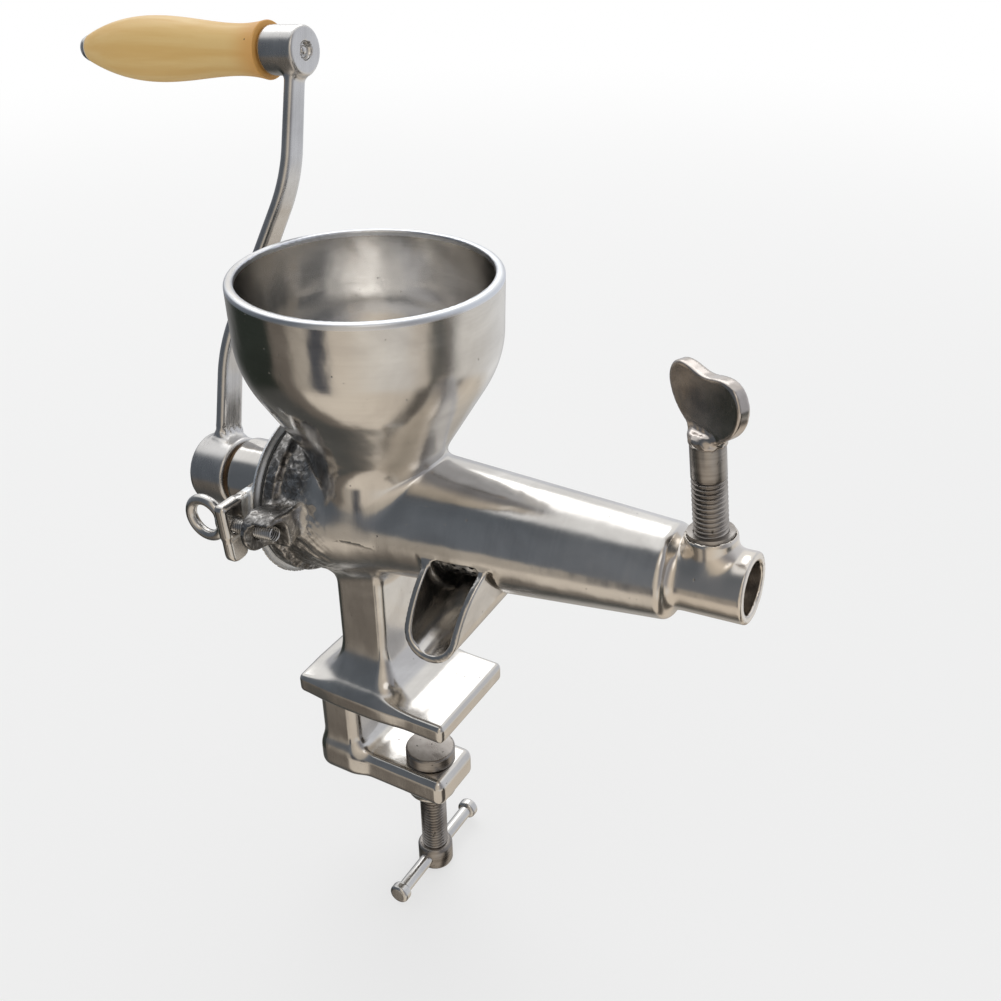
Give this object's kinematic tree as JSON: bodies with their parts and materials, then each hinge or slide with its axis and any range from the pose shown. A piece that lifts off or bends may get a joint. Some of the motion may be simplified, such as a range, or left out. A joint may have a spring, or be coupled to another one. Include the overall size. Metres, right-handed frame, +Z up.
{
  "type": "manual wheatgrass juicer",
  "caption": "Table clamped auger juicer: a crank turns a tapered auger under a round hopper, juice leaves by a spout, pulp by a nozzle throttled by a winged screw.",
  "frame": {"origin": "on the table top under the hopper's axis, in the underside of the upper clamp jaw", "axes": "+Z up, +X along the barrel towards the pulp nozzle, -Y the side that the juice spout pours to"},
  "size_m": [0.3298, 0.1131, 0.3596],
  "materials": {
    "polished_casting": "cast stainless steel, belt polished, with soft scratches and fine pits",
    "raw_casting": "cast stainless steel left matt and slightly rough",
    "brushed_plate": "stainless flat bar, brushed lengthways",
    "turned_steel": "turned stainless steel, fine ring marks",
    "bright_steel": "bright turned stainless steel",
    "bronze": "sintered bronze",
    "black_rubber": "food grade rubber, matt",
    "turned_wood": "turned beech, light oil"
  },
  "bodies": {
    "root": {"hopper": "polished_casting", "barrel": "polished_casting", "pulp_nozzle": "polished_casting", "screw_boss_ring": "bright_steel", "strainer": "turned_steel", "juice_spout": "polished_casting", "rear_cover": "polished_casting", "bearing_bush": "bronze", "shaft_seal": "black_rubber", "cover_gasket": "black_rubber", "cover_lugs": "raw_casting", "clamp_frame": "polished_casting"},
    "crank": {"auger": "turned_steel", "crank_hub": "turned_steel", "crank_arm": "brushed_plate", "handle_boss": "polished_casting", "grip_pin": "turned_steel", "grip_cap_nut": "turned_steel", "hub_screw": "turned_steel", "thrust_washer": "bronze"},
    "grip": {"wood_grip": "turned_wood"},
    "pressure_plug": {"pressure_plug": "turned_steel"},
    "pressure_screw": {"pressure_screw": "turned_steel", "pressure_wing": "raw_casting"},
    "eye_screw_near": {"eye_screw_near": "turned_steel"},
    "eye_screw_far": {"eye_screw_far": "turned_steel"},
    "clamp_pad": {"swivel_pad": "turned_steel"},
    "clamp_screw": {"clamp_screw": "turned_steel"},
    "clamp_bar": {"tommy_bar": "turned_steel", "bar_knobs": "turned_steel"}
  },
  "joints": [
    {"name": "crank_turn", "type": "hinge", "parent": "root", "child": "crank", "pos_m": [0, 0, 0.091], "axis": [0.9976, 0, 0.0698], "continuous": true},
    {"name": "grip_spin", "type": "hinge", "parent": "crank", "child": "grip", "pos_m": [-0.12305, 0.05027, 0.24519], "axis": [0.9976, 0, 0.0698], "continuous": true},
    {"name": "pressure_plug_travel", "type": "slide", "parent": "root", "child": "pressure_plug", "axis": [-0.1219, 0, 0.9925], "range_m": [-0.0084, 0.0079]},
    {"name": "pressure_screw_turn", "type": "hinge", "parent": "pressure_plug", "child": "pressure_screw", "pos_m": [0.13816, 0, 0.10066], "axis": [-0.1219, 0, 0.9925], "range_deg": [-1740, 1640]},
    {"name": "eye_screw_near_turn", "type": "hinge", "parent": "root", "child": "eye_screw_near", "pos_m": [-0.00028, -0.04148, 0.09499], "axis": [0.9976, 0, 0.0698], "range_deg": [-360, 360]},
    {"name": "eye_screw_far_turn", "type": "hinge", "parent": "root", "child": "eye_screw_far", "pos_m": [-0.00028, 0.04148, 0.09499], "axis": [0.9976, 0, 0.0698], "range_deg": [-360, 360]},
    {"name": "clamp_pad_travel", "type": "slide", "parent": "root", "child": "clamp_pad", "axis": [0, 0, 1], "range_m": [0, 0.0288]},
    {"name": "clamp_screw_turn", "type": "hinge", "parent": "clamp_pad", "child": "clamp_screw", "pos_m": [0.017, 0, 0], "axis": [0, 0, 1], "range_deg": [0, 5940]},
    {"name": "clamp_bar_slide", "type": "slide", "parent": "clamp_screw", "child": "clamp_bar", "axis": [0, 1, 0], "range_m": [-0.0185, 0.0185]}
  ],
  "couplings": [
    {"joint": "pressure_screw_turn", "follows": "pressure_plug_travel", "rad_per_m": 3590.4},
    {"joint": "clamp_screw_turn", "follows": "clamp_pad_travel", "rad_per_m": 3590.4}
  ]
}
